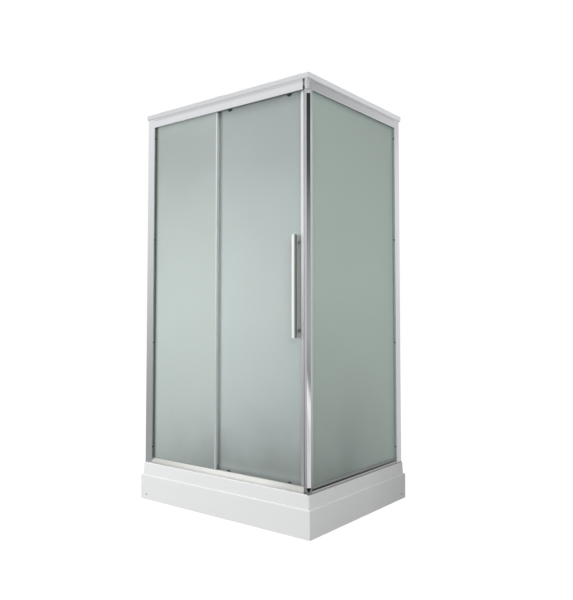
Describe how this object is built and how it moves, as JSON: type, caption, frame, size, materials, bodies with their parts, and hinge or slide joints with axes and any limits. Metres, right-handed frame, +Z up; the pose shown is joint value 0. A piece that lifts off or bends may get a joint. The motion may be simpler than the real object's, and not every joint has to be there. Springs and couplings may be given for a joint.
{
  "type": "shower cabin",
  "caption": "rectangular corner shower cabin with a two-tier tray, frosted glass in an aluminium frame, a fixed panel and a sliding door hung on rollers",
  "frame": {"origin": "middle of the tray's outline, on the floor", "axes": "+X to the right along the front, +Y from the front to the back wall, +Z up"},
  "size_m": [1.15, 0.91, 2.151],
  "materials": {
    "white_acrylic": "glossy white sanitary acrylic",
    "satin_aluminium": "satin silver anodised extrusion",
    "polished_chrome": "mirror chrome plating",
    "chromed_plastic": "chrome-plated plastic",
    "frosted_glass": "tempered glass, frosted, faintly green",
    "dark_rubber": "dark grey-green rubber",
    "grey_rubber": "translucent grey seal",
    "bright_steel": "zinc-plated steel",
    "coated_steel": "grey powder coat",
    "black_plastic": "moulded plastic",
    "grey_plastic": "moulded plastic",
    "white_plastic": "moulded plastic"
  },
  "bodies": {
    "cabin": {"shower_tray": "white_acrylic", "front_apron": "white_acrylic", "side_apron": "white_acrylic", "apron_screws": "bright_steel", "frame_long_bars": "coated_steel", "frame_cross_bars": "coated_steel", "foot_pads": "black_plastic", "foot_rods": "bright_steel", "foot_nuts": "bright_steel", "drain_trap": "white_plastic", "drain_flange": "polished_chrome", "left_front_post": "satin_aluminium", "right_rear_post": "satin_aluminium", "rear_left_post": "satin_aluminium", "corner_column": "satin_aluminium", "corner_trim": "polished_chrome", "corner_foot": "polished_chrome", "corner_connector": "grey_plastic", "front_top_rail": "satin_aluminium", "side_top_rail": "satin_aluminium", "front_sill": "satin_aluminium", "side_sill": "satin_aluminium", "post_screws": "bright_steel", "rear_wall_panel": "white_acrylic", "left_wall_panel": "white_acrylic", "roof_panel": "white_acrylic", "front_cornice": "satin_aluminium", "side_cornice": "satin_aluminium", "fixed_glass": "frosted_glass", "side_glass": "frosted_glass", "glazing_gaskets": "dark_rubber", "fixed_edge_profile": "satin_aluminium", "fixed_edge_seal": "grey_rubber", "column_magnet_seal": "grey_rubber", "bump_stops": "dark_rubber", "mixer_body": "polished_chrome", "inlet_rosettes": "polished_chrome", "riser_pipe": "polished_chrome", "riser_bracket": "polished_chrome"},
    "door": {"door_glass": "frosted_glass", "door_edge_profile": "satin_aluminium", "door_magnet_seal": "grey_rubber", "handle_bar": "polished_chrome", "handle_standoffs": "polished_chrome", "handle_caps": "polished_chrome", "roller_bolts": "polished_chrome", "left_roller_bracket": "bright_steel", "right_roller_bracket": "bright_steel", "left_lower_housing": "grey_plastic", "right_lower_housing": "grey_plastic"},
    "flow_knob": {"flow_knob": "polished_chrome"},
    "temperature_knob": {"temperature_knob": "polished_chrome"},
    "shower_head": {"shower_head": "chromed_plastic"},
    "drain_cover": {"drain_cover": "polished_chrome"},
    "left_top_wheel": {"left_top_wheel": "white_plastic"},
    "left_release_slider": {"left_release_slider": "grey_plastic"},
    "left_lower_wheel": {"left_lower_wheel": "white_plastic"},
    "right_top_wheel": {"right_top_wheel": "white_plastic"},
    "right_release_slider": {"right_release_slider": "grey_plastic"},
    "right_lower_wheel": {"right_lower_wheel": "white_plastic"}
  },
  "joints": [
    {"name": "door_slide", "type": "slide", "parent": "cabin", "child": "door", "axis": [-1, 0, 0], "range_m": [0, 0.446]},
    {"name": "left_top_wheel_roll", "type": "hinge", "parent": "door", "child": "left_top_wheel", "pos_m": [0.037, -0.389, 2.0958], "axis": [0, -1, 0], "range_deg": [0, 2330]},
    {"name": "left_release_lift", "type": "slide", "parent": "door", "child": "left_release_slider", "axis": [0, 0, 1], "range_m": [0, 0.006], "stiffness_N_per_m": 300},
    {"name": "left_lower_wheel_roll", "type": "hinge", "parent": "left_release_slider", "child": "left_lower_wheel", "pos_m": [0.037, -0.389, 0.2093], "axis": [0, -1, 0], "range_deg": [0, 3200]},
    {"name": "right_top_wheel_roll", "type": "hinge", "parent": "door", "child": "right_top_wheel", "pos_m": [0.424, -0.389, 2.0958], "axis": [0, -1, 0], "range_deg": [0, 2330]},
    {"name": "right_release_lift", "type": "slide", "parent": "door", "child": "right_release_slider", "axis": [0, 0, 1], "range_m": [0, 0.006], "stiffness_N_per_m": 300},
    {"name": "right_lower_wheel_roll", "type": "hinge", "parent": "right_release_slider", "child": "right_lower_wheel", "pos_m": [0.424, -0.389, 0.2093], "axis": [0, -1, 0], "range_deg": [0, 3200]},
    {"name": "flow_turn", "type": "hinge", "parent": "cabin", "child": "flow_knob", "pos_m": [-0.485, 0, 1.084], "axis": [0, 1, 0], "range_deg": [0, 110]},
    {"name": "temperature_turn", "type": "hinge", "parent": "cabin", "child": "temperature_knob", "pos_m": [-0.485, 0, 1.084], "axis": [0, 1, 0], "range_deg": [-90, 90]},
    {"name": "head_tilt", "type": "hinge", "parent": "cabin", "child": "shower_head", "pos_m": [-0.145, 0, 1.92], "axis": [0, 1, 0], "range_deg": [-15, 15]},
    {"name": "drain_cover_lift", "type": "slide", "parent": "cabin", "child": "drain_cover", "axis": [0, 0, 1], "range_m": [0, 0.06]}
  ],
  "couplings": [
    {"joint": "left_top_wheel_roll", "follows": "door_slide", "rad_per_m": 90.909},
    {"joint": "left_lower_wheel_roll", "follows": "door_slide", "rad_per_m": 125},
    {"joint": "right_top_wheel_roll", "follows": "door_slide", "rad_per_m": 90.909},
    {"joint": "right_lower_wheel_roll", "follows": "door_slide", "rad_per_m": 125}
  ]
}
